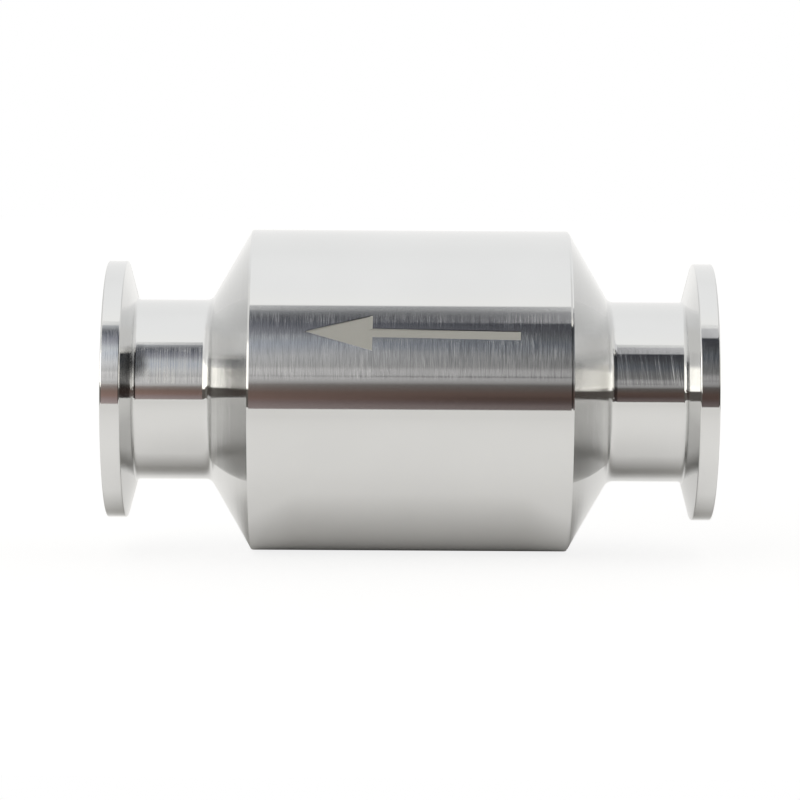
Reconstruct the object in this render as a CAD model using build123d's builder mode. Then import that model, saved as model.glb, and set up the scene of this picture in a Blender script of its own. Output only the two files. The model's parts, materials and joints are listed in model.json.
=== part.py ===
from build123d import *
from math import cos, pi, radians, sin, sqrt, tan
import os

# Inline vacuum non-return valve for a 25 mm line, turned from stainless steel.
# The flow axis is X. Gas enters at +X and leaves at -X, the way the arrow on the body points.
# The origin is on the axis, halfway between the two flange faces. Units are millimetres.
#
# How it comes apart: the inlet end piece unscrews from the body at the seam beside the
# right-hand edge of the wide cylinder. The poppet, its spring and the three-armed guide
# then come out of the chamber through that opening.

# Outside of the valve
overall_length = 94.0
body_diameter = 50.0
body_length = 49.0
shoulder_angle = 30.0  # of the two cones, measured from a plane square to the axis
neck_diameter = 28.0
bore_diameter = 24.0
flange_diameter = 40.0
flange_rim = 3.0
flange_taper = 15.0  # of the flange's back, where the clamp bears
centring_diameter = 26.2
centring_depth = 3.0
edge_break = 0.25  # length of the shallow bevel on both edges of the wide cylinder
edge_break_drop = 0.07  # and how far it falls
neck_fillet = 1.5
rim_edge = 0.25
taper_fillet = 0.6
mouth_chamfer = 0.3

# Flow arrow, a shallow frosted recess on the front of the body
arrow_length = 32.3
arrow_head_length = 10.0
arrow_head_width = 5.6
arrow_shaft_width = 1.3
arrow_depth = 0.1
arrow_elevation = 25.0  # angle above the horizontal, on the -Y side
arrow_shift = 0.45  # of its middle from the body's middle, towards the inlet
arrow_lean = 1.0  # in degrees, its tail end low, as it was marked

# Screwed joint between the body and the inlet end piece
spigot_length = 16.0
body_wall = 3.0  # outside the joint's thread
joint_thread = body_diameter - 2 * body_wall
joint_thread_pitch = 1.5
pitch_radius_drop = 0.32475  # from a thread's outer radius to its pitch radius, in pitches
joint_thread_length = 8.0
thread_relief = 1.6
bore_step = 1.0  # from the thread to the sealing bore, and from there to the chamber
seal_bore = joint_thread - 2 * bore_step
nose_clearance = 0.1
thread_clearance = 0.02
seam_step = 0.35
ring_cord = 2.5  # free section of the sealing ring
ring_squeeze = 0.5
ring_room = 0.5  # spare width of the ring's groove
ring_from_end = 2.0
lead_in = 0.5

# Seat and poppet
seat_height = 1.0
seat_width = 1.4
seat_gap = 0.8  # from the bore to the seat's raised land
seat_round = 0.4
gasket_thickness = 2.5
gasket_overlap = 1.4
gasket_proud = 0.5
disc_lip = 0.9
disc_web = 3.5
disc_back_chamfer = 1.2
disc_lip_chamfer = 0.2
lift = 6.0
spring_boss = 1.5
stop_boss = 3.5
stop_boss_diameter = 9.0
retainer_thickness = 2.0
retainer_gap = 1.2

# Stem and its fasteners
stem_diameter = 6.0
stem_thread = 5.0
stem_thread_play = 0.1
hole_play = 0.1
lock_washer_thickness = 1.2
lock_washer_width = 2.0
lock_washer_split = 0.9
lock_washer_slant = 20.0  # of the split
nut_height = 4.0
nut_across_flats = 8.0
nut_chamfer = 30.0
tip_length = 1.5
stem_chamfer = 0.5
rear_gap = 1.0
stop_washer_thickness = 1.0
stop_washer_diameter = 11.0
clip_thickness = 0.7
clip_groove_diameter = 5.0
clip_diameter = 11.0
clip_side_play = 0.02
clip_teeth = 3
clip_tooth_share = 0.7  # a tooth's width, in groove radii
clip_opening_share = 0.85  # the opening's width, in groove diameters
stem_tail = 1.5

# Chamber, guide and its retaining ring
chamber_diameter = seal_bore - 2 * bore_step
end_wall = 4.5  # from the left edge of the wide cylinder to the guide's seat
guide_seat_width = 1.5
outlet_cone_start = 1.0
guide_thickness = 4.0
guide_rim = 2.4
guide_fit = 0.05
guide_arms = 3
arm_width = 3.0
arm_fillet = 1.0
hub_diameter = 13.0
hub_tail = 2.0
bush_diameter = 9.0
bush_flange = 1.5
bush_flange_diameter = 12.0
bush_chamfer = 0.5
bush_play = 0.05  # radial running clearance round the stem
circlip_thickness = 1.75
circlip_groove_depth = 1.25
circlip_groove_play = 0.1
circlip_width = 3.0
circlip_eccentricity = 0.7
circlip_lug_radius = 2.3
circlip_hole_radius = 1.0
circlip_gap = 5.0
circlip_lug_angle = 14.0

# Return spring, with closed and ground ends
spring_wire = 1.0
spring_mean_diameter = 17.2
spring_active_coils = 5
spring_dead_pitch = 1.04  # pitch of the closed end turns, in wire diameters

# Stations along the axis, worked out from the sizes above
inlet_face = overall_length / 2
outlet_face = -overall_length / 2
joint_face = body_length / 2
body_left = -body_length / 2
spigot_end = joint_face - spigot_length
seat_face = spigot_end - seat_height
gasket_back = seat_face - gasket_thickness
disc_back = gasket_back - disc_web
boss_end = disc_back - stop_boss
bush_face = boss_end - lift
hub_right = bush_face - bush_flange
guide_left = body_left + end_wall
guide_right = guide_left + guide_thickness
hub_left = guide_left - hub_tail
circlip_right = guide_right + circlip_thickness
retainer_front = seat_face + retainer_thickness
lock_washer_front = retainer_front + lock_washer_thickness
nut_front = lock_washer_front + nut_height
stem_tip = nut_front + tip_length
stop_washer_right = hub_left - rear_gap
clip_right = stop_washer_right - stop_washer_thickness
clip_left = clip_right - clip_thickness
stem_end = clip_left - stem_tail

# Radii that several pieces share
body_radius = body_diameter / 2
neck_radius = neck_diameter / 2
bore_radius = bore_diameter / 2
flange_radius = flange_diameter / 2
chamber_radius = chamber_diameter / 2
seal_radius = seal_bore / 2
nose_radius = seal_radius - nose_clearance
thread_radius = joint_thread / 2 - pitch_radius_drop * joint_thread_pitch
relief_radius = joint_thread / 2 + nose_clearance
seat_inner = bore_radius + seat_gap
seat_outer = seat_inner + seat_width
gasket_radius = seat_outer + gasket_overlap
disc_radius = gasket_radius + disc_lip
retainer_radius = bore_radius - retainer_gap
stem_radius = stem_diameter / 2
stem_thread_radius = stem_thread / 2 - stem_thread_play
guide_radius = chamber_radius - guide_fit
guide_inner = guide_radius - guide_rim
spring_radius = spring_mean_diameter / 2
spring_inner = spring_radius - spring_wire / 2
locating_radius = spring_inner - hole_play
same_place = 0.001  # stations and radii closer than this are one


def circles(piece, x, radius):
    """The circular edges of a turned piece at one station and radius."""
    return piece.edges().filter_by(GeomType.CIRCLE).filter_by(
        lambda edge: abs(edge.arc_center.X - x) < same_place and abs(edge.radius - radius) < same_place
    )


def end_outline(first_radius):
    """Outer points of one end, (distance from the middle, radius), from the shoulder to the flange face."""
    shoulder_run = tan(radians(shoulder_angle))
    taper_run = (flange_radius - neck_radius) * tan(radians(flange_taper))
    rim_back = inlet_face - flange_rim
    return [
        (joint_face + (body_radius - first_radius) * shoulder_run, first_radius),
        (joint_face + (body_radius - neck_radius) * shoulder_run, neck_radius),
        (rim_back - taper_run, neck_radius),
        (rim_back, flange_radius),
        (inlet_face, flange_radius),
    ]


def flange_edges(piece, side):
    """Edges of the neck and flange on one side that are rounded, as (edges, radius) pairs."""
    neck_foot, taper_foot, rim_back, face = end_outline(body_radius)[1:]
    return [
        (circles(piece, side * neck_foot[0], neck_radius), neck_fillet),
        (circles(piece, side * taper_foot[0], neck_radius), taper_fillet),
        (circles(piece, side * rim_back[0], flange_radius), rim_edge),
        (circles(piece, side * face[0], flange_radius), rim_edge),
    ]


# Arrow prism, trimmed to the depth of the recess
arrow_direction = Vector(0, -cos(radians(arrow_elevation)), sin(radians(arrow_elevation)))
arrow_plane = Plane(origin=(arrow_shift, 0, 0), x_dir=(1, 0, 0), z_dir=arrow_direction)
arrow_tip = -arrow_length / 2
arrow_neck = arrow_tip + arrow_head_length
with BuildPart() as arrow:
    with BuildSketch(arrow_plane.rotated((0, 0, -arrow_lean))):
        with BuildLine():
            Polyline(
                (arrow_tip, 0),
                (arrow_neck, arrow_head_width / 2),
                (arrow_neck, arrow_shaft_width / 2),
                (-arrow_tip, arrow_shaft_width / 2),
                (-arrow_tip, -arrow_shaft_width / 2),
                (arrow_neck, -arrow_shaft_width / 2),
                (arrow_neck, -arrow_head_width / 2),
                close=True,
            )
        make_face()
    extrude(amount=body_diameter)
    Cylinder(
        body_radius - arrow_depth,
        body_length,
        rotation=(0, 90, 0),
        mode=Mode.SUBTRACT,
    )

# Valve body: the wide cylinder, the outlet cone, neck and flange, bored from the inlet end
outlet_cone_run = (chamber_radius - guide_seat_width - bore_radius) * tan(radians(shoulder_angle))
outlet_cone_left = guide_left - outlet_cone_start - outlet_cone_run
relief_left = joint_face - joint_thread_length - thread_relief
with BuildPart() as valve_body:
    with BuildSketch(Plane.XY):
        with BuildLine():
            Polyline(
                (outlet_face, 0),
                *[(-x, r) for x, r in reversed(end_outline(body_radius - edge_break_drop))],
                (body_left + edge_break, body_radius),
                (joint_face - edge_break, body_radius),
                (joint_face, body_radius - edge_break_drop),
                (joint_face, 0),
                close=True,
            )
        make_face()
    revolve(axis=Axis.X)
    with BuildSketch(Plane.XY):
        with BuildLine():
            Polyline(
                (outlet_face, 0),
                (outlet_face, centring_diameter / 2),
                (outlet_face + centring_depth, centring_diameter / 2),
                (outlet_face + centring_depth, bore_radius),
                (outlet_cone_left, bore_radius),
                (guide_left - outlet_cone_start, chamber_radius - guide_seat_width),
                (guide_left, chamber_radius - guide_seat_width),
                (guide_left, chamber_radius),
                (guide_right, chamber_radius),
                (guide_right, chamber_radius + circlip_groove_depth),
                (circlip_right + circlip_groove_play, chamber_radius + circlip_groove_depth),
                (circlip_right + circlip_groove_play, chamber_radius),
                (spigot_end - lead_in, chamber_radius),
                (spigot_end - lead_in, seal_radius),
                (relief_left, seal_radius),
                (relief_left, relief_radius),
                (relief_left + thread_relief, relief_radius),
                (relief_left + thread_relief, thread_radius),
                (joint_face - lead_in, thread_radius),
                (joint_face, thread_radius + lead_in),
                (joint_face, 0),
                close=True,
            )
        make_face()
    revolve(axis=Axis.X, mode=Mode.SUBTRACT)
    for edges, radius in flange_edges(valve_body, -1):
        fillet(edges, radius)
    chamfer(circles(valve_body, outlet_face, centring_diameter / 2), mouth_chamfer)
    chamfer(circles(valve_body, outlet_face + centring_depth, bore_radius), mouth_chamfer)
    add(arrow.part, mode=Mode.SUBTRACT)
valve_body.part.label = "valve_body"

# Inlet end piece: flange, neck and cone outside, threaded spigot with the seat inside
groove_depth = ring_cord - ring_squeeze + nose_clearance
groove_width = ring_cord + ring_squeeze + ring_room
groove_left = spigot_end + ring_from_end
with BuildPart() as inlet_end_piece:
    with BuildSketch(Plane.XY):
        with BuildLine():
            Polyline(
                (spigot_end, bore_radius),
                (spigot_end, seat_inner),
                (seat_face, seat_inner),
                (seat_face, seat_outer),
                (spigot_end, seat_outer),
                (spigot_end, nose_radius - lead_in),
                (spigot_end + lead_in, nose_radius),
                (groove_left, nose_radius),
                (groove_left, seal_radius - groove_depth),
                (groove_left + groove_width, seal_radius - groove_depth),
                (groove_left + groove_width, nose_radius),
                (relief_left + thread_relief, nose_radius),
                (relief_left + thread_relief, thread_radius - thread_clearance - lead_in),
                (relief_left + thread_relief + lead_in, thread_radius - thread_clearance),
                (joint_face - thread_relief, thread_radius - thread_clearance),
                (joint_face - thread_relief, nose_radius),
                (joint_face, nose_radius),
                (joint_face, body_radius - seam_step),
                *end_outline(body_radius - seam_step),
                (inlet_face, centring_diameter / 2),
                (inlet_face - centring_depth, centring_diameter / 2),
                (inlet_face - centring_depth, bore_radius),
                close=True,
            )
        make_face()
    revolve(axis=Axis.X)
    for edges, radius in flange_edges(inlet_end_piece, 1):
        fillet(edges, radius)
    fillet(circles(inlet_end_piece, seat_face, seat_inner), seat_round)
    fillet(circles(inlet_end_piece, seat_face, seat_outer), seat_round)
    chamfer(circles(inlet_end_piece, inlet_face, centring_diameter / 2), mouth_chamfer)
    chamfer(circles(inlet_end_piece, inlet_face - centring_depth, bore_radius), mouth_chamfer)
inlet_end_piece.part.label = "inlet_end_piece"

# Sealing ring in the spigot's groove, drawn squeezed: its free section keeps its area
ring_height = groove_depth - nose_clearance
ring_area = pi * (ring_cord / 2) ** 2
ring_width = ring_height + (ring_area - pi * (ring_height / 2) ** 2) / ring_height
ring_left = groove_left + (groove_width - ring_width) / 2
with BuildPart() as body_sealing_ring:
    with BuildSketch(Plane.XY):
        with Locations((ring_left + ring_width / 2, seal_radius - groove_depth + ring_height / 2)):
            SlotOverall(ring_width, ring_height)
    revolve(axis=Axis.X)
body_sealing_ring.part.label = "body_sealing_ring"

# Guide: rim, hub and arms in one piece, resting on the shoulder at the chamber's outlet end
arm_reach = guide_inner + guide_rim / 2
with BuildPart() as stem_guide:
    with BuildSketch(Plane.YZ.offset(guide_left)):
        Circle(guide_radius)
        Circle(guide_inner, mode=Mode.SUBTRACT)
        Circle(hub_diameter / 2)
        with PolarLocations(0, guide_arms, start_angle=90):
            Rectangle(arm_reach, arm_width, align=(Align.MIN, Align.CENTER))
    extrude(amount=guide_thickness)
    # The corners between arms, hub and rim; the round faces' own seam lines all lie at Z = 0
    corners = stem_guide.edges().filter_by(Axis.X).filter_by(lambda edge: abs(edge.center().Z) > arm_fillet)
    fillet(corners, arm_fillet)
    with BuildSketch(Plane.YZ.offset(hub_left)):
        Circle(hub_diameter / 2)
    extrude(amount=hub_right - hub_left)
    with BuildSketch(Plane.YZ.offset(guide_right)):
        Circle(locating_radius)
    extrude(amount=spring_wire)
    with BuildSketch(Plane.YZ.offset(hub_left)):
        Circle(bush_diameter / 2)
    extrude(amount=hub_right - hub_left, mode=Mode.SUBTRACT)
    chamfer(circles(stem_guide, hub_left, hub_diameter / 2), lead_in)
stem_guide.part.label = "stem_guide"

# Guide bush, with a flange that is the poppet's opening stop
with BuildPart() as guide_bush:
    with BuildSketch(Plane.XY):
        with BuildLine():
            Polyline(
                (hub_left, stem_radius + bush_play),
                (hub_left, bush_diameter / 2),
                (hub_right, bush_diameter / 2),
                (hub_right, bush_flange_diameter / 2),
                (bush_face, bush_flange_diameter / 2),
                (bush_face, stem_radius + bush_play),
                close=True,
            )
        make_face()
    revolve(axis=Axis.X)
    chamfer(circles(guide_bush, bush_face, bush_flange_diameter / 2), bush_chamfer)
guide_bush.part.label = "guide_bush"

# Internal retaining ring that holds the guide down on its shoulder
circlip_outer = chamber_radius + circlip_groove_depth - circlip_groove_play
with BuildPart() as retaining_ring:
    with BuildSketch(Plane.YZ.offset(guide_right)):
        Circle(circlip_outer)
        with Locations((0, circlip_eccentricity)):
            Circle(circlip_outer - circlip_width, mode=Mode.SUBTRACT)
        lug_centre = circlip_outer - circlip_width - circlip_lug_radius / 2
        lug_aside = lug_centre * sin(radians(circlip_lug_angle))
        lug_up = lug_centre * cos(radians(circlip_lug_angle))
        lug_places = [(-lug_aside, lug_up), (lug_aside, lug_up)]
        with Locations(*lug_places):
            Circle(circlip_lug_radius)
        with Locations((0, circlip_outer)):
            Rectangle(circlip_gap, circlip_outer, mode=Mode.SUBTRACT)
        with Locations(*lug_places):
            Circle(circlip_hole_radius, mode=Mode.SUBTRACT)
    extrude(amount=circlip_thickness)
retaining_ring.part.label = "retaining_ring"

# Return spring between the guide's arms and the back of the poppet disc.
# Each end has one closed turn, ground flat, and the coil is drawn turn by turn.
spring_length = disc_back - guide_right
dead_rise = spring_dead_pitch * spring_wire
coil_start = guide_right + spring_wire / 4
active_rise = (spring_length - spring_wire / 2 - 2 * dead_rise) / spring_active_coils
turn_rises = [dead_rise] + [active_rise] * spring_active_coils + [dead_rise]
with BuildPart() as return_spring:
    with BuildLine() as coil:
        for turn, rise in enumerate(turn_rises):
            turn_start = (coil_start + sum(turn_rises[:turn]), 0, 0)
            Helix(pitch=rise, height=rise, radius=spring_radius, center=turn_start, direction=(1, 0, 0))
    with BuildSketch(Plane(origin=coil.line @ 0, z_dir=-(coil.line % 0))):
        Circle(spring_wire / 2)
    sweep(path=coil.line, is_frenet=True)
    with BuildSketch(Plane.YZ.offset(guide_right)):
        Circle(spring_radius + spring_wire)
    extrude(amount=spring_length, mode=Mode.INTERSECT)
return_spring.part.label = "return_spring"

# Poppet disc: recess for the gasket in front, spring and stop bosses behind
with BuildPart() as poppet_disc:
    with BuildSketch(Plane.XY):
        with BuildLine():
            Polyline(
                (boss_end, stem_thread_radius + hole_play),
                (boss_end, stop_boss_diameter / 2),
                (disc_back - spring_boss, stop_boss_diameter / 2),
                (disc_back - spring_boss, locating_radius),
                (disc_back, locating_radius),
                (disc_back, disc_radius),
                (seat_face - gasket_proud, disc_radius),
                (seat_face - gasket_proud, gasket_radius),
                (gasket_back, gasket_radius),
                (gasket_back, stem_thread_radius + hole_play),
                close=True,
            )
        make_face()
    revolve(axis=Axis.X)
    chamfer(circles(poppet_disc, disc_back, disc_radius), disc_back_chamfer)
    chamfer(circles(poppet_disc, seat_face - gasket_proud, disc_radius), disc_lip_chamfer)
    chamfer(circles(poppet_disc, boss_end, stop_boss_diameter / 2), lead_in)
poppet_disc.part.label = "poppet_disc"

# Flat gasket in the disc's recess
with BuildPart() as seat_gasket:
    with BuildSketch(Plane.YZ.offset(gasket_back)):
        Circle(gasket_radius)
        Circle(stem_thread_radius + hole_play, mode=Mode.SUBTRACT)
    extrude(amount=gasket_thickness)
seat_gasket.part.label = "seat_gasket"

# Retainer plate that clamps the gasket's middle
with BuildPart() as gasket_retainer:
    with BuildSketch(Plane.YZ.offset(seat_face)):
        Circle(retainer_radius)
        Circle(stem_thread_radius + hole_play, mode=Mode.SUBTRACT)
    extrude(amount=retainer_thickness)
    chamfer(circles(gasket_retainer, retainer_front, retainer_radius), retainer_thickness / 2)
gasket_retainer.part.label = "gasket_retainer"

# Split lock washer
with BuildPart() as lock_washer:
    with BuildSketch(Plane.YZ.offset(retainer_front)):
        Circle(stem_thread_radius + hole_play + lock_washer_width)
        Circle(stem_thread_radius + hole_play, mode=Mode.SUBTRACT)
    extrude(amount=lock_washer_thickness)
    with BuildSketch(Plane.XZ.rotated((0, 0, lock_washer_slant))):
        with Locations((retainer_front + lock_washer_thickness / 2, stem_thread_radius + lock_washer_width)):
            Rectangle(3 * lock_washer_thickness, 2 * lock_washer_width)
    extrude(amount=lock_washer_split / 2, both=True, mode=Mode.SUBTRACT)
lock_washer.part.label = "lock_washer"

# Hexagon nut on the stem's thread
nut_corner = nut_across_flats / sqrt(3)
nut_bevel = (nut_corner - nut_across_flats / 2) * tan(radians(nut_chamfer))
with BuildPart() as poppet_nut:
    with BuildSketch(Plane.YZ.offset(lock_washer_front)):
        RegularPolygon(nut_corner, 6)
        Circle(stem_thread_radius + thread_clearance, mode=Mode.SUBTRACT)
    extrude(amount=nut_height)
    with BuildSketch(Plane.XY):
        with BuildLine():
            Polyline(
                (lock_washer_front, 0),
                (lock_washer_front, nut_across_flats / 2),
                (lock_washer_front + nut_bevel, nut_corner),
                (nut_front - nut_bevel, nut_corner),
                (nut_front, nut_across_flats / 2),
                (nut_front, 0),
                close=True,
            )
        make_face()
    revolve(axis=Axis.X, mode=Mode.INTERSECT)
poppet_nut.part.label = "poppet_nut"

# Stem: journal in the bush, clip groove behind, thread through the disc in front
with BuildPart() as poppet_stem:
    with BuildSketch(Plane.XY):
        with BuildLine():
            Polyline(
                (stem_end, 0),
                (stem_end, stem_radius - stem_chamfer),
                (stem_end + stem_chamfer, stem_radius),
                (clip_left - clip_side_play, stem_radius),
                (clip_left - clip_side_play, clip_groove_diameter / 2),
                (clip_right, clip_groove_diameter / 2),
                (clip_right, stem_radius),
                (boss_end, stem_radius),
                (boss_end, stem_thread_radius),
                (stem_tip - stem_chamfer, stem_thread_radius),
                (stem_tip, stem_thread_radius - stem_chamfer),
                (stem_tip, 0),
                close=True,
            )
        make_face()
    revolve(axis=Axis.X)
poppet_stem.part.label = "poppet_stem"

# Stop washer behind the hub
with BuildPart() as stop_washer:
    with BuildSketch(Plane.YZ.offset(clip_right)):
        Circle(stop_washer_diameter / 2)
        Circle(stem_radius + bush_play, mode=Mode.SUBTRACT)
    extrude(amount=stop_washer_thickness)
stop_washer.part.label = "stop_washer"

# E-shaped clip in the stem's groove, open downwards, with three teeth on the groove
clip_grip = clip_groove_diameter / 2
tooth_width = clip_grip * clip_tooth_share
with BuildPart() as stem_clip:
    with BuildSketch(Plane.YZ.offset(clip_left)):
        Circle(clip_diameter / 2)
        Circle(clip_grip + tooth_width / 2, mode=Mode.SUBTRACT)
        with PolarLocations(0, clip_teeth, start_angle=90):
            with Locations((clip_grip + tooth_width / 2, 0)):
                Rectangle(tooth_width * 2, tooth_width)
        Circle(clip_grip, mode=Mode.SUBTRACT)
        with Locations((0, -clip_diameter / 2)):
            Rectangle(clip_groove_diameter * clip_opening_share, clip_diameter, mode=Mode.SUBTRACT)
    extrude(amount=clip_thickness)
stem_clip.part.label = "stem_clip"

os.makedirs("parts", exist_ok=True)
export_step(valve_body.part, "parts/valve_body.step")
export_step(inlet_end_piece.part, "parts/inlet_end_piece.step")
export_step(body_sealing_ring.part, "parts/body_sealing_ring.step")
export_step(stem_guide.part, "parts/stem_guide.step")
export_step(guide_bush.part, "parts/guide_bush.step")
export_step(retaining_ring.part, "parts/retaining_ring.step")
export_step(return_spring.part, "parts/return_spring.step")
export_step(poppet_disc.part, "parts/poppet_disc.step")
export_step(seat_gasket.part, "parts/seat_gasket.step")
export_step(gasket_retainer.part, "parts/gasket_retainer.step")
export_step(lock_washer.part, "parts/lock_washer.step")
export_step(poppet_nut.part, "parts/poppet_nut.step")
export_step(poppet_stem.part, "parts/poppet_stem.step")
export_step(stop_washer.part, "parts/stop_washer.step")
export_step(stem_clip.part, "parts/stem_clip.step")
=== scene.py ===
import json
import math

import bpy
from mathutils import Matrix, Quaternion, Vector


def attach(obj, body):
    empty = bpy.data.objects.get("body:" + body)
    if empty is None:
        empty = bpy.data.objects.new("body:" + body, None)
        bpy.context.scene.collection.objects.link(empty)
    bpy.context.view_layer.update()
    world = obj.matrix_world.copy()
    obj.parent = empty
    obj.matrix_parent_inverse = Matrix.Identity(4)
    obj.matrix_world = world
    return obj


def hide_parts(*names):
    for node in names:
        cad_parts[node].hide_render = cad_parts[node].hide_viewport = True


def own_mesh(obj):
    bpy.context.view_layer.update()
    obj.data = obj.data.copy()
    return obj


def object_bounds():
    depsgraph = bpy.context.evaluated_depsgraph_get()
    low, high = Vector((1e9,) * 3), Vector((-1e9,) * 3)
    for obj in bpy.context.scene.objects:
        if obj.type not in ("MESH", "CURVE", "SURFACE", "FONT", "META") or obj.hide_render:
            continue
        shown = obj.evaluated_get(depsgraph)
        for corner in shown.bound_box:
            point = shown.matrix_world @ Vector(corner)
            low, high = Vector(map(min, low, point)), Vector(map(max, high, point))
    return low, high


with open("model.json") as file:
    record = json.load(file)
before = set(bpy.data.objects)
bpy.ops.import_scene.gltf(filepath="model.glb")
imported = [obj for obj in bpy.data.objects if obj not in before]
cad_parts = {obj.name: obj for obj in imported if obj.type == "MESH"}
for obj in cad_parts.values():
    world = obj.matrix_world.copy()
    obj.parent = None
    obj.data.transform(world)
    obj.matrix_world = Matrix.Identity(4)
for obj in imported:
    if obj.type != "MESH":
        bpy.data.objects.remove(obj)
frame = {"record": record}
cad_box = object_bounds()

# The vacuum non-return valve. Metres. X is the valve's axis, with the inlet at +X, and Z is up.
# The camera looks along +Y, at the side with the flow arrow.
# A pair of limits gives where an effect starts and where it is full, in either direction.
WHITE = (1.0, 1.0, 1.0, 1.0)
BLACK = (0.0, 0.0, 0.0, 1.0)

# Camera, fitted to the photograph
SENSOR_MM = 36.0
LENS_MM = 172.7
CAMERA_DISTANCE = 0.600
CAMERA_ELEVATION = math.radians(5.0)
CAMERA_ROLL = math.radians(0.34)
CAMERA_CENTRE = Vector((-0.0015, 0.0, 0.0))
PICTURE_SHIFT = (0.0, -0.0119)
NEAREST_SEEN = 0.01

# Flow arrow: the frosted floor of the recess in the body
BODY_RADIUS = 0.025
ARROW_WALL = (BODY_RADIUS - 0.0006, BODY_RADIUS - 0.0004)  # radii that part it from the bores
ARROW_ELEVATION = math.radians(25.0)
ARROW_LEAN = math.radians(1.0)
ARROW_SHIFT = 0.00045
ARROW_LENGTH = 0.0323
ARROW_HEAD_LENGTH = 0.0100
ARROW_HEAD_WIDTH = 0.0056
ARROW_SHAFT_WIDTH = 0.0013
ARROW_EDGE = 0.00006  # softness of its outline
ARROW_SHADE_WIDTH = 0.00012  # width of the painted shade along its upper edges: a dark line where the recess's edge shades it
ARROW_SHADE_STRENGTH = 0.6
FROST_GRAIN = 9000.0
FROST_DARK = (0.52, 0.515, 0.48, 1.0)
FROST_LIGHT = (0.61, 0.605, 0.565, 1.0)
FROST_METAL = 0.25
FROST_ROUGHNESS = 0.6

# Which part of the turned steel a point belongs to, by its radius
NECK_RADII = (0.0156, 0.0146)
RIM_INNER = (0.0190, 0.0196)
RIM_OUTER = (0.0206, 0.0203)
FLANGE_BACK_RADII = (0.0203, 0.0199)
# and by the share of its normal along the axis
SLOPE_FACING = (0.3, 0.6)
FLANGE_BACK_FACING = (0.91, 0.95)
FLAT_FACING = (0.975, 0.99)
BORE_FACING = (-0.2, -0.5)  # the share of its normal away from the axis
BORE_ROUGHNESS = 0.28

# Fine scuffs in the turned steel, between these rises up the round faces, as sines
SCUFFS_FROM = (0.135, 0.175)
SCUFFS_TO = (0.55, 0.50)
SCUFF_WIDTH = 0.00011
SCUFF_LENGTH = 0.0028
SCUFF_LEVELS = (0.48, 0.72)  # of the noise that draws them
LINE_LEVELS = (0.50, 0.30)  # and of the darker lines between them
SCUFF_PATCHES = (110.0, 170.0, 170.0)
PATCH_LEVELS = (0.38, 0.62, 0.25, 1.0)
NECK_SCUFF_LENGTH = 0.009
NECK_SCUFFS = 3.2  # how much stronger they are on the necks
RIM_SCUFFS = 0.8  # and on the rims
BACK_SCUFFS = 0.15  # strength all round the back
SCUFFED_FRONT = (0.006, -0.004)  # the valve's front, along Y
SCRATCHED_FROM = (0.026, 0.027)  # from here towards the inlet the neck has slanting scratches
SCRATCH_SLANT = 0.12
SCRATCH_THINNING = -0.07

# Tone of the turned steel
CLOUD_SCALE = 60.0
CLOUD_LEVELS = (0.3, 0.7)
CLOUD_SHARE = 0.97
NECK_SHADE_AT = (-0.0416, 0.0052)  # painted shade from the flange: a dark patch on the outlet's neck beside the flange, along X and Z
NECK_SHADE_SIZE = (0.0017, 0.0028)
NECK_SHADE_GRAIN = 900.0
NECK_SHADE_RAGGEDNESS = 0.5
NECK_SHADE_EDGE = (1.35, 0.55)
NECK_SHADE_FRONT = (0.0, -0.002)
NECK_SHADE_STRENGTH = 0.75
FLANGE_BACK_SHADE = 0.25  # painted shade: how much darker the flanges' backs are made below, and from where, as a sine
FLANGE_BACK_SHADE_FROM = (0.0, -0.2)
GROOVE_SCALE = (300000.0, 30.0, 30.0)

# Table: white. The steel sees painted light on it, a glow of its own that varies over it, and a
# painted shadow that makes it darker near the valve
FLOOR_GAP = 0.0002
TABLE_FRONT = 0.19  # from the valve's axis to the table's front edge
TABLE_SIDE = 0.22  # to its side edges
TABLE_BACK = 1.2  # to its back edge
TABLE_TINT = (0.985, 0.955)  # its green and blue, as shares of its red
TABLE_PAINT = 0.85
TABLE_IN_STEEL = 0.66
TABLE_SEEN = (0.22, 0.84)  # its paint and its own light, for the camera
PAINTED_SHADOW_NARROWER = (0.018, 0.032, 1.0, 2.0)  # painted shadow: the dark strip below the valve, narrower towards its ends
# Painted light in the steel: the table's glow, weak right under the valve and strong just beyond it,
# then fading further off
PAINTED_GLOW_NEAR = (0.003, 0.024, 0.02, 0.35)
PAINTED_GLOW_LOST = (0.034, 0.118, 0.0, 0.11)

# Studio: white walls, with a dark opening in front, where the camera stands. The steel shows all
# of it. Elevations are in degrees, and widths are sines sideways, seen from the valve.
MIDDLE = (-0.005, 0.005)
FRONT_FROM = (0.03, -0.03)  # along Y
OPENING_LEFT = -0.20
OPENING_RIGHT = 0.75
OPENING_RIGHT_ABOVE = 0.50  # above SHOULDER the opening ends here on the right
SHOULDER = (0.68, 0.72)  # sines of the elevation
OPENING_TOP = 67.0
OPENING_BLUR = 0.04
OPENING_FLOOR = 0.28  # how far it darkens from left to right
FALL_MOST = 20.0
FALL_STOPS = [  # how fast, as shares of FALL_MOST, to the right and left, and how much more far left
    (-90, (0.15, 0.05, 0.55)),
    (7.0, (0.15, 0.05, 0.70)),
    (9.0, (0.10, 0.15, 1.0)),
    (11.2, (0.10, 0.15, 0.15)),
    (18, (0.12, 0.20, 0.12)),
    (26, (0.50, 0.40, 0.12)),
    (36, (0.55, 0.60, 0.16)),
    (43, (0.50, 0.45, 0.75)),
    (50, (0.42, 0.30, 0.75)),
    (56, (0.20, 0.25, 0.75)),
    (62, (0.25, 0.10, 0.60)),
    (66, (0.0, 0.0, 0.60)),
]
FAR_LEFT = (-0.050, -0.074)  # where the extra brightness on the left grows
FAR_LEFT_MOST = 2.0
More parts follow.
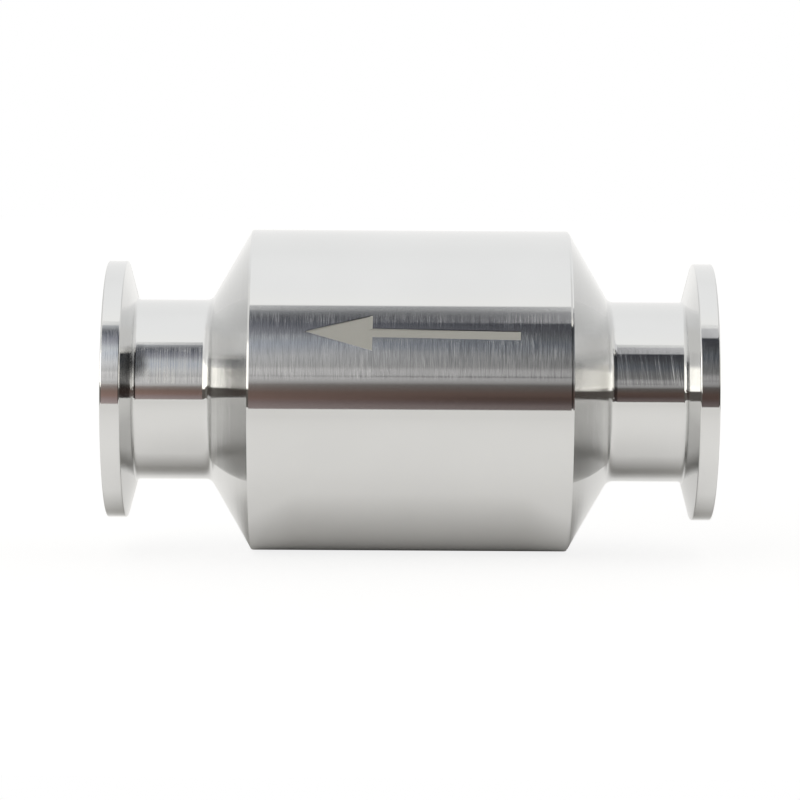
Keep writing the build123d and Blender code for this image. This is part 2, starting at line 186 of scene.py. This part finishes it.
OPENING_STOPS = [
    (-90, (0.12, 0.10, 0.09)),
    (-8, (0.19, 0.160, 0.155)),
    (-4, (0.155, 0.12, 0.115)),
    (-1, (0.135, 0.092, 0.080)),
    (3, (0.115, 0.080, 0.068)),
    (9.0, (0.125, 0.115, 0.11)),
    (11.2, (0.33, 0.325, 0.32)),
    (13.2, (0.40, 0.395, 0.395)),
    (19.5, (0.41, 0.405, 0.405)),
    (22, (0.29, 0.289, 0.289)),
    (29, (0.28, 0.284, 0.292)),
    (33, (0.225, 0.235, 0.254)),
    (38, (0.168, 0.182, 0.210)),
    (42, (0.15, 0.16, 0.174)),
    (48, (0.105, 0.108, 0.120)),
    (53, (0.08, 0.083, 0.096)),
    (57, (0.055, 0.058, 0.068)),
    (60, (0.06, 0.063, 0.072)),
    (62, (0.105, 0.108, 0.115)),
    (OPENING_TOP, (0.29, 0.30, 0.31)),
]
DARK_BARS = (  # elevation, half width, strength, and where they start sideways
    (14.8, 0.016, 0.60, -0.045),
    (-1.5, 0.07, 0.85, -0.012),
)
DARK_BAR_GROWTH = 0.05  # how far from its start a bar is full
ENDS = (0.051, 0.056)  # sideways, where the valve's narrow ends look instead of its body
ENDS_LOWER = 0.034  # how much lower the opening's top edge lies for them
LEDGE = (56.0, 57.5)  # above this the opening is grey for the right-hand end
LEDGE_GREY = (0.72, 0.72, 0.73, 1.0)
FRONT_WALL_STOPS = [
    (-90, (0.90, 0.88, 0.83)),
    (5.4, (0.90, 0.88, 0.83)),
    (20, (0.93, 0.93, 0.925)),
    (60, (0.98, 0.98, 0.97)),
    (68, (1.0, 1.0, 0.985)),
    (90, (0.97, 0.975, 0.975)),
]
FOOT = (4.4, 5.4)  # below these elevations the front walls are dark
FOOT_DARK = (0.11, 0.10, 0.09, 1.0)
FOOT_LIGHTER = (0.19, 0.18, 0.165, 1.0)
FOOT_LIGHTER_FROM = (-0.65, -0.80)
FOOT_RISE = (0.70, 0.80, 0.0, 0.026)  # how much higher the dark foot reaches at the far right
# Lit parts of the front walls: the sine of their top edge, left and right, and its change sideways
LAMP_TOPS = ((0.816, -0.48), (1.275, -0.97))
LAMP_TOP_BLUR = 0.03
LAMP_LEFT = (2.1, 2.05, 1.92)
LAMP_LEFT_FROM = (-0.22, -0.36)
LAMP_LEFT_SHARE = (-0.55, -0.75, 0.8, 1.0)
LAMP_RIGHT = (1.25, 1.21, 1.10)
LAMP_RIGHT_FROM = (-0.05, 0.05)  # from the opening's right edge
LAMP_RIGHT_SHARE = (0.60, 0.80, 1.3, 0.78)
BACK_WALL_STOPS = [
    (-90, (0.86, 0.85, 0.82)),
    (0, (0.97, 0.965, 0.95)),
    (20, (0.96, 0.96, 0.955)),
    (60, (0.94, 0.945, 0.945)),
    (90, (0.97, 0.975, 0.975)),
]
BACK_WALL_SHARE = (0.25, 0.85, 1.0, 0.62)  # the back walls darken sideways
SIDE_STOPS = [  # the walls at the valve's two ends, above the lamps
    (-90, (1.35, 1.34, 1.30)),
    (27, (1.30, 1.29, 1.26)),
    (33, (0.84, 0.835, 0.82)),
    (90, (0.74, 0.735, 0.72)),
]
SIDE_BACK = (0.32, 0.15)  # where they end along Y
SIDE_FRONT = (-0.93, -0.85)
SIDE_INNER = (0.30, 0.45)


class Nodes:
    """Short names for making shader nodes and joining them."""

    def __init__(self, tree):
        self.tree = tree

    def add(self, kind, **settings):
        node = self.tree.nodes.new(kind)
        for name, value in settings.items():
            setattr(node, name, value)
        return node

    def join(self, source, target):
        self.tree.links.new(source, target)

    def value(self, target, item):
        """Set a socket to a number or colour, or join an output to it."""
        if isinstance(item, bpy.types.NodeSocket):
            self.join(item, target)
        elif item is not None:
            target.default_value = item

    def fill(self, node, *items):
        """Give a node's inputs their values in order, and return its first output."""
        for target, item in zip(node.inputs, items):
            self.value(target, item)
        return node.outputs[0]

    def math(self, operation, *items):
        return self.fill(self.add("ShaderNodeMath", operation=operation), *items)

    def vector(self, operation, *items):
        return self.fill(self.add("ShaderNodeVectorMath", operation=operation), *items)

    def scale(self, vector, factor):
        node = self.add("ShaderNodeVectorMath", operation="SCALE")
        self.value(node.inputs["Scale"], factor)
        return self.fill(node, vector)

    def split(self, vector):
        node = self.add("ShaderNodeSeparateXYZ")
        self.join(vector, node.inputs[0])
        return node.outputs

    def combine(self, *items):
        return self.fill(self.add("ShaderNodeCombineXYZ"), *items)

    def stretch(self, vector, scale):
        node = self.add("ShaderNodeMapping")
        node.inputs["Scale"].default_value = scale
        return self.fill(node, vector)

    def length(self, first, second):
        squares = [self.math("MULTIPLY", item, item) for item in (first, second)]
        return self.math("SQRT", self.math("ADD", *squares))

    def all_of(self, *factors):
        product = factors[0]
        for factor in factors[1:]:
            product = self.math("MULTIPLY", product, factor)
        return product

    def none_of(self, factor):
        return self.math("SUBTRACT", 1.0, factor)

    def mix(self, factor, first, second):
        node = self.add("ShaderNodeMix", data_type="RGBA")
        self.value(node.inputs["Factor"], factor)
        self.value(node.inputs[6], first)
        self.value(node.inputs[7], second)
        return node.outputs[2]

    def mix_value(self, factor, first, second):
        return self.fill(self.add("ShaderNodeMix", data_type="FLOAT"), factor, None, first, second)

    def mix_shader(self, factor, first, second):
        return self.fill(self.add("ShaderNodeMixShader"), factor, first, second)

    def ramp(self, factor, stops):
        node = self.add("ShaderNodeValToRGB")
        elements = node.color_ramp.elements
        elements[0].position, elements[0].color = stops[0][0], (*stops[0][1], 1.0)
        elements[1].position, elements[1].color = stops[-1][0], (*stops[-1][1], 1.0)
        for position, colour in stops[1:-1]:
            elements.new(position).color = (*colour, 1.0)
        self.join(factor, node.inputs["Fac"])
        return node.outputs["Color"]

    def noise(self, vector, scale, detail=2.0, roughness=0.5):
        node = self.add("ShaderNodeTexNoise")
        self.join(vector, node.inputs["Vector"])
        node.inputs["Scale"].default_value = scale
        node.inputs["Detail"].default_value = detail
        node.inputs["Roughness"].default_value = roughness
        return node.outputs["Fac"]

    def remap(self, item, low, high, out_low=0.0, out_high=1.0):
        node = self.add("ShaderNodeMapRange", clamp=True)
        return self.fill(node, item, low, high, out_low, out_high)


def camera_at_photo():
    camera = bpy.data.objects.new("photo_camera", bpy.data.cameras.new("photo_camera"))
    bpy.context.scene.collection.objects.link(camera)
    camera.data.sensor_width = SENSOR_MM
    camera.data.lens = LENS_MM
    camera.data.clip_start = NEAREST_SEEN
    camera.data.shift_x, camera.data.shift_y = PICTURE_SHIFT
    back = Vector((0.0, -math.cos(CAMERA_ELEVATION), math.sin(CAMERA_ELEVATION)))
    camera.location = CAMERA_CENTRE + CAMERA_DISTANCE * back
    turn = back.to_track_quat("Z", "Y")
    turn.rotate(Quaternion(back, CAMERA_ROLL))
    camera.rotation_mode = "QUATERNION"
    camera.rotation_quaternion = turn
    bpy.context.scene.camera = camera


def sine(angle):
    return math.sin(math.radians(angle))


def by_elevation(n, height, stops):
    """A colour ramp over the sine of the elevation, given in degrees."""
    return n.ramp(height, [((sine(angle) + 1) / 2, colour) for angle, colour in stops])


def opening_colour(n, x, z, lifted, at_ends):
    """The dark opening: lighter on the left and darker on the right, except along its top."""
    height = n.remap(lifted, -1.0, 1.0)
    rates = n.add("ShaderNodeSeparateColor")
    n.join(by_elevation(n, height, FALL_STOPS), rates.inputs[0])
    to_right, to_left, more_far_left = rates.outputs
    rate = n.mix_value(n.remap(x, *MIDDLE), to_left, to_right)
    fall = n.math("EXPONENT", n.all_of(x, rate, -FALL_MOST))
    fall = n.math("MAXIMUM", fall, OPENING_FLOOR)
    far_left = n.math("MULTIPLY", n.remap(x, *FAR_LEFT), more_far_left)
    fall = n.math("MULTIPLY", fall, n.math("MULTIPLY_ADD", far_left, FAR_LEFT_MOST, 1.0))
    colour = n.scale(by_elevation(n, height, OPENING_STOPS), fall)
    colour = n.vector("MINIMUM", colour, WHITE[:3])
    # What only the body sees: two dark bars, stronger to the right
    for middle, half, share, start in DARK_BARS:
        off = n.math("ABSOLUTE", n.math("SUBTRACT", z, sine(middle)))
        grown = n.remap(x, start, start + DARK_BAR_GROWTH)
        bar = n.all_of(n.remap(off, half, half / 3), grown, n.none_of(at_ends))
        colour = n.scale(colour, n.math("MULTIPLY_ADD", bar, -share, 1.0))
    above_ledge = n.remap(lifted, sine(LEDGE[0]), sine(LEDGE[1]))
    ledge = n.math("MULTIPLY", above_ledge, n.remap(x, *ENDS))
    return n.mix(ledge, colour, LEDGE_GREY)


def front_wall_colour(n, x, z, height, right_edge, above_lamp):
    """The walls on both sides of the opening: lit below, grey above and dark at the foot."""
    walls = by_elevation(n, height, FRONT_WALL_STOPS)
    beyond = n.math("SUBTRACT", x, right_edge)
    lamps = (
        (LAMP_LEFT, n.remap(x, *LAMP_LEFT_FROM), n.remap(x, *LAMP_LEFT_SHARE)),
        (LAMP_RIGHT, n.remap(beyond, *LAMP_RIGHT_FROM), n.remap(x, *LAMP_RIGHT_SHARE)),
    )
    for colour, side, share in lamps:
        lit_wall = n.math("MULTIPLY", side, n.remap(above_lamp, 1.0, 0.0))
        walls = n.mix(lit_wall, walls, n.scale(colour, share))
    raised = n.math("SUBTRACT", z, n.remap(x, *FOOT_RISE))
    foot = n.mix(n.remap(x, *FOOT_LIGHTER_FROM), FOOT_DARK, FOOT_LIGHTER)
    return n.mix(n.remap(raised, sine(FOOT[0]), sine(FOOT[1])), foot, walls)


def surround():
    world = bpy.data.worlds.new("studio")
    bpy.context.scene.world = world
    world.use_nodes = True
    world.node_tree.nodes.clear()
    n = Nodes(world.node_tree)
    x, y, z = n.split(n.add("ShaderNodeTexCoord").outputs["Generated"])
    height = n.remap(z, -1.0, 1.0)
    across = n.math("ABSOLUTE", x)
    at_ends = n.remap(across, *ENDS)
    lifted = n.math("MULTIPLY", z, n.math("MULTIPLY_ADD", at_ends, ENDS_LOWER, 1.0))
    right_edge = n.remap(z, *SHOULDER, OPENING_RIGHT, OPENING_RIGHT_ABOVE)
    inside = n.all_of(
        n.remap(x, OPENING_LEFT - OPENING_BLUR, OPENING_LEFT),
        n.remap(n.math("SUBTRACT", x, right_edge), 0.0, -OPENING_BLUR),
        n.remap(lifted, sine(OPENING_TOP + 1), sine(OPENING_TOP)),
    )
    tops = [n.math("MULTIPLY_ADD", across, slant, top) for top, slant in LAMP_TOPS]
    lamp_top = n.mix_value(n.remap(x, *MIDDLE), *tops)
    above_lamp = n.remap(n.math("SUBTRACT", z, lamp_top), -LAMP_TOP_BLUR, LAMP_TOP_BLUR)
    walls = front_wall_colour(n, x, z, height, right_edge, above_lamp)
    front = n.mix(inside, walls, opening_colour(n, x, z, lifted, at_ends))
    end_wall = n.all_of(
        n.remap(y, *SIDE_BACK),
        n.remap(y, *SIDE_FRONT),
        n.remap(across, *SIDE_INNER),
        above_lamp,
        n.remap(inside, 1.0, 0.0),
    )
    back = n.scale(by_elevation(n, height, BACK_WALL_STOPS), n.remap(across, *BACK_WALL_SHARE))
    room = n.mix(n.remap(y, *FRONT_FROM), back, front)
    room = n.mix(end_wall, room, by_elevation(n, height, SIDE_STOPS))
    lit = n.fill(n.add("ShaderNodeBackground"), room)
    white = n.fill(n.add("ShaderNodeBackground"), WHITE)
    path = n.add("ShaderNodeLightPath")
    out = n.add("ShaderNodeOutputWorld")
    n.join(n.mix_shader(path.outputs["Is Camera Ray"], lit, white), out.inputs["Surface"])


def glowing_paint(n, colour, glow):
    """Slightly warm matt paint with a share of its own light, which may vary over the table."""
    green, blue = TABLE_TINT
    paint = n.add("ShaderNodeBsdfDiffuse")
    paint.inputs["Color"].default_value = (colour, colour * green, colour * blue, 1.0)
    light = n.add("ShaderNodeEmission")
    n.value(light.inputs["Strength"], glow)
    return n.fill(n.add("ShaderNodeAddShader"), paint.outputs[0], light.outputs[0])


def table():
    mesh = bpy.data.meshes.new("table")
    level = cad_box[0][2] - FLOOR_GAP
    corners = [
        (-TABLE_SIDE, -TABLE_FRONT, level),
        (TABLE_SIDE, -TABLE_FRONT, level),
        (TABLE_SIDE, TABLE_BACK, level),
        (-TABLE_SIDE, TABLE_BACK, level),
    ]
    mesh.from_pydata(corners, [], [(0, 1, 2, 3)])
    top = bpy.data.objects.new("table", mesh)
    bpy.context.scene.collection.objects.link(top)
    material = bpy.data.materials.new("table")
    material.use_nodes = True
    material.node_tree.nodes.clear()
    n = Nodes(material.node_tree)
    x, y, _ = n.split(n.add("ShaderNodeTexCoord").outputs["Object"])
    aside, along = n.math("ABSOLUTE", y), n.math("ABSOLUTE", x)
    # Painted light for the steel only: a glow over the table, with a painted shadow strip right
    # below the valve
    off_strip = n.math("MULTIPLY", aside, n.remap(along, *PAINTED_SHADOW_NARROWER))
    glow = n.math("SUBTRACT", n.remap(off_strip, *PAINTED_GLOW_NEAR), n.remap(aside, *PAINTED_GLOW_LOST))
    path = n.add("ShaderNodeLightPath")
    lighting = glowing_paint(n, TABLE_PAINT, 0.0)
    in_steel = glowing_paint(n, TABLE_IN_STEEL, glow)
    unseen = n.mix_shader(path.outputs["Is Glossy Ray"], lighting, in_steel)
    seen = glowing_paint(n, *TABLE_SEEN)
    out = n.add("ShaderNodeOutputMaterial")
    n.join(n.mix_shader(path.outputs["Is Camera Ray"], unseen, seen), out.inputs["Surface"])
    mesh.materials.append(material)


class Spot:
    """A point on a turned face, as node outputs: its place, and how the face lies there."""

    def __init__(self, n):
        self.place = n.add("ShaderNodeTexCoord").outputs["Object"]
        self.x, self.y, self.z = n.split(self.place)
        self.radius = n.length(self.y, self.z)
        self.rise = n.math("DIVIDE", self.z, self.radius)  # up the round face, as a sine
        self.normal = n.add("ShaderNodeNewGeometry").outputs["Normal"]
        facing = n.split(self.normal)
        self.axial = n.math("ABSOLUTE", facing[0])
        self.slope = n.remap(self.axial, *SLOPE_FACING)
        self.on_neck = n.remap(self.radius, *NECK_RADII)
        outward = n.math(
            "ADD", n.math("MULTIPLY", facing[1], self.y), n.math("MULTIPLY", facing[2], self.z)
        )
        self.in_bore = n.remap(n.math("DIVIDE", outward, self.radius), *BORE_FACING)


def arrow_mask(n, spot, raised=0.0):
    """1 inside the outline of the flow arrow on the body, 0 outside it."""
    turn = n.math("ARCTAN2", spot.z, n.math("MULTIPLY", spot.y, -1.0))
    level = ARROW_ELEVATION + raised / BODY_RADIUS
    above = n.math("MULTIPLY", n.math("SUBTRACT", turn, level), BODY_RADIUS)
    beyond = n.math("SUBTRACT", spot.x, ARROW_SHIFT)
    cos, sin = math.cos(ARROW_LEAN), math.sin(ARROW_LEAN)
    along = n.math("SUBTRACT", n.math("MULTIPLY", beyond, cos), n.math("MULTIPLY", above, sin))
    across = n.math("ADD", n.math("MULTIPLY", beyond, sin), n.math("MULTIPLY", above, cos))
    aside = n.math("ABSOLUTE", across)
    from_tip = n.math("ADD", along, ARROW_LENGTH / 2)
    edge = ARROW_EDGE / 2
    half_head = n.math("MULTIPLY", from_tip, ARROW_HEAD_WIDTH / 2 / ARROW_HEAD_LENGTH)
    in_head = n.math(
        "MULTIPLY",
        n.remap(n.math("SUBTRACT", half_head, aside), -edge, edge),
        n.remap(from_tip, ARROW_HEAD_LENGTH + edge, ARROW_HEAD_LENGTH - edge),
    )
    in_shaft = n.all_of(
        n.remap(aside, ARROW_SHAFT_WIDTH / 2 + edge, ARROW_SHAFT_WIDTH / 2 - edge),
        n.remap(from_tip, ARROW_HEAD_LENGTH - edge, ARROW_HEAD_LENGTH + edge),
        n.remap(from_tip, ARROW_LENGTH + edge, ARROW_LENGTH - edge),
    )
    on_wall = n.remap(spot.radius, *ARROW_WALL)
    return n.all_of(n.math("MAXIMUM", in_head, in_shaft), on_wall)


def scuffs(n, spot):
    """The noise of the lines round the axis, the band that shows them, and the scuffs in it."""
    scratched = n.math("MULTIPLY", spot.on_neck, n.remap(spot.x, *SCRATCHED_FROM))
    slanting = n.math(
        "MULTIPLY_ADD", n.math("MULTIPLY", spot.z, scratched), SCRATCH_SLANT, spot.x
    )
    round_scale = n.mix_value(spot.on_neck, 1 / SCUFF_LENGTH, 1 / NECK_SCUFF_LENGTH)
    stretched = n.combine(
        n.math("MULTIPLY", slanting, 1 / SCUFF_WIDTH),
        n.math("MULTIPLY", spot.y, round_scale),
        n.math("MULTIPLY", spot.z, round_scale),
    )
    lines = n.noise(stretched, 1.0, roughness=0.7)
    lines = n.math("MULTIPLY_ADD", scratched, SCRATCH_THINNING, lines)
    # Plain to see only at the front, and none at all on slopes and in the bores
    band = n.math("MULTIPLY", n.remap(spot.rise, *SCUFFS_FROM), n.remap(spot.rise, *SCUFFS_TO))
    band = n.mix_value(n.remap(spot.y, *SCUFFED_FRONT), BACK_SCUFFS, band)
    band = n.all_of(band, n.none_of(spot.slope), n.none_of(spot.in_bore))
    patches = n.noise(n.stretch(spot.place, SCUFF_PATCHES), 1.0)
    on_rim = n.math(
        "MULTIPLY", n.remap(spot.radius, *RIM_INNER), n.remap(spot.radius, *RIM_OUTER)
    )
    scuffed = n.all_of(n.remap(lines, *SCUFF_LEVELS), n.remap(patches, *PATCH_LEVELS), band)
    scuffed = n.all_of(
        scuffed,
        n.mix_value(spot.on_neck, 1.0, NECK_SCUFFS),
        n.mix_value(on_rim, 1.0, RIM_SCUFFS),
    )
    return lines, band, scuffed


def painted_neck_shade(n, spot):
    """Painted shade from the flange: a ragged dark patch on the outlet's neck, at its front."""
    off = n.length(
        n.math("DIVIDE", n.math("SUBTRACT", spot.x, NECK_SHADE_AT[0]), NECK_SHADE_SIZE[0]),
        n.math("DIVIDE", n.math("SUBTRACT", spot.z, NECK_SHADE_AT[1]), NECK_SHADE_SIZE[1]),
    )
    ragged = n.math("MULTIPLY", n.noise(spot.place, NECK_SHADE_GRAIN, detail=3.0), NECK_SHADE_RAGGEDNESS)
    return n.all_of(
        n.remap(n.math("ADD", off, ragged), *NECK_SHADE_EDGE),
        spot.on_neck,
        n.remap(spot.y, *NECK_SHADE_FRONT),
        NECK_SHADE_STRENGTH,
    )


def grooved_normal(n, spot, grooves, slope_grooves):
    """The tool's grooves: the face tips a little to and fro along the axis, but for flat faces."""
    wave = n.noise(n.stretch(spot.place, GROOVE_SCALE), 1.0, detail=0.0)
    slanted = n.math("MULTIPLY", spot.slope, n.none_of(n.remap(spot.axial, *FLAT_FACING)))
    depth = n.mix_value(slanted, grooves, slope_grooves)
    tip = n.math("MULTIPLY", n.math("SUBTRACT", wave, 0.5), depth)
    return n.vector("NORMALIZE", n.vector("ADD", spot.normal, n.combine(tip)))


def metal(
    name,
    colour,
    roughness,
    slope_roughness,
    anisotropic=0.9,
    streak=0.05,
    fine_lines=0.0,
    grooves=0.05,
    slope_grooves=0.3,
    etched=False,
):
    """Turned steel: lines and scuffs round the X axis, cloudy tone and a groove-like gloss."""
    material = bpy.data.materials.new(name)
    material.use_nodes = True
    n = Nodes(material.node_tree)
    shader = material.node_tree.nodes["Principled BSDF"]
    shader.inputs["Metallic"].default_value = 1.0
    spot = Spot(n)
    lines, band, scuffed = scuffs(n, spot)
    cloud = n.noise(spot.place, CLOUD_SCALE, detail=3.0)
    dull = tuple(c * CLOUD_SHARE for c in colour)
    base = n.mix(n.remap(cloud, *CLOUD_LEVELS), (*colour, 1.0), (*dull, 1.0))
    darker = n.all_of(n.remap(lines, *LINE_LEVELS), band, fine_lines)
    # Darker turning lines, with the painted shade on the outlet's neck
    base = n.mix(n.math("MAXIMUM", darker, painted_neck_shade(n, spot)), base, BLACK)
    # Painted shade: the flanges' backs are darker below
    on_back = n.math(
        "MULTIPLY",
        n.remap(spot.axial, *FLANGE_BACK_FACING),
        n.remap(spot.radius, *FLANGE_BACK_RADII),
    )
    lower_back_shade = n.all_of(on_back, n.remap(spot.rise, *FLANGE_BACK_SHADE_FROM), FLANGE_BACK_SHADE)
    base = n.mix(lower_back_shade, base, BLACK)
    even = n.mix_value(spot.slope, roughness, slope_roughness)
    rough = n.math("MULTIPLY_ADD", scuffed, streak, even)
    rough = n.mix_value(spot.in_bore, rough, BORE_ROUGHNESS)
    if etched:
        arrow = arrow_mask(n, spot)
        frost = n.mix(n.noise(spot.place, FROST_GRAIN), FROST_DARK, FROST_LIGHT)
        # Painted shade: a dark line just above the arrow's upper edges, as the recess's edge would
        # cast
        upper_edge_shade = n.math("MULTIPLY", arrow_mask(n, spot, ARROW_SHADE_WIDTH), n.none_of(arrow))
        base = n.mix(n.math("MULTIPLY", upper_edge_shade, ARROW_SHADE_STRENGTH), base, BLACK)
        base = n.mix(arrow, base, frost)
        rough = n.mix_value(arrow, rough, FROST_ROUGHNESS)
        n.join(n.mix_value(arrow, 1.0, FROST_METAL), shader.inputs["Metallic"])
    n.join(base, shader.inputs["Base Color"])
    n.join(rough, shader.inputs["Roughness"])
    shader.inputs["Anisotropic"].default_value = anisotropic
    shader.inputs["Anisotropic Rotation"].default_value = 0.25
    tangent = n.add("ShaderNodeTangent", direction_type="RADIAL", axis="X")
    n.join(tangent.outputs[0], shader.inputs["Tangent"])
    n.join(grooved_normal(n, spot, grooves, slope_grooves), shader.inputs["Normal"])
    return material


def plain(name, colour, roughness, grain, metallic=0.0):
    """An even material with a fine grain in its tone, gloss and surface."""
    material = bpy.data.materials.new(name)
    material.use_nodes = True
    n = Nodes(material.node_tree)
    shader = material.node_tree.nodes["Principled BSDF"]
    shader.inputs["Metallic"].default_value = metallic
    place = n.add("ShaderNodeTexCoord").outputs["Object"]
    fine = n.noise(place, grain, detail=3.0)
    cloud = n.noise(place, 150.0)
    darker = tuple(c * 0.93 for c in colour)
    tone = n.mix(n.mix_value(0.5, fine, cloud), (*darker, 1.0), (*colour, 1.0))
    n.join(tone, shader.inputs["Base Color"])
    gloss = n.remap(fine, 0.3, 0.7, roughness - 0.06, roughness + 0.06)
    n.join(gloss, shader.inputs["Roughness"])
    bump = n.add("ShaderNodeBump")
    bump.inputs["Strength"].default_value = 0.05 if metallic else 0.25
    bump.inputs["Distance"].default_value = 0.00002
    n.join(fine, bump.inputs["Height"])
    n.join(bump.outputs[0], shader.inputs["Normal"])
    return material


def dress(node, material):
    mesh = bpy.data.objects[node].data
    mesh.materials.clear()
    mesh.materials.append(material)


def working_spring(material):
    """The return spring: a copy of the solid part with its own mesh, carried with the housing."""
    solid = bpy.data.objects["return_spring"]
    spring = bpy.data.objects.new("working_spring", solid.data.copy())
    bpy.context.scene.collection.objects.link(spring)
    spring.matrix_world = solid.matrix_world
    spring.data.materials.clear()
    spring.data.materials.append(material)
    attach(spring, "housing")
    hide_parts("return_spring")
    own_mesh(spring)


finish = {
    "turned_stainless": metal(
        "turned_stainless",
        (0.80, 0.80, 0.795),
        roughness=0.08,
        slope_roughness=0.09,
        anisotropic=1.0,
        streak=0.125,
        fine_lines=0.20,
        grooves=0.03,
        slope_grooves=0.6,
        etched=True,
    ),
    "machined_stainless": metal("machined_stainless", (0.74, 0.74, 0.73), 0.2, 0.25),
    "spring_stainless": plain(
        "spring_stainless", (0.62, 0.61, 0.59), 0.28, grain=2500.0, metallic=1.0
    ),
    "fluoro_rubber": plain("fluoro_rubber", (0.032, 0.032, 0.033), 0.55, grain=6000.0),
    "white_fluoroplastic": plain("white_fluoroplastic", (0.86, 0.86, 0.84), 0.38, grain=1500.0),
}
for part in frame["record"]["subparts"]:
    dress(part["node"], finish[part["material_slot"]])

working_spring(finish["spring_stainless"])
camera_at_photo()
surround()
table()
bpy.context.scene.view_settings.view_transform = "Standard"
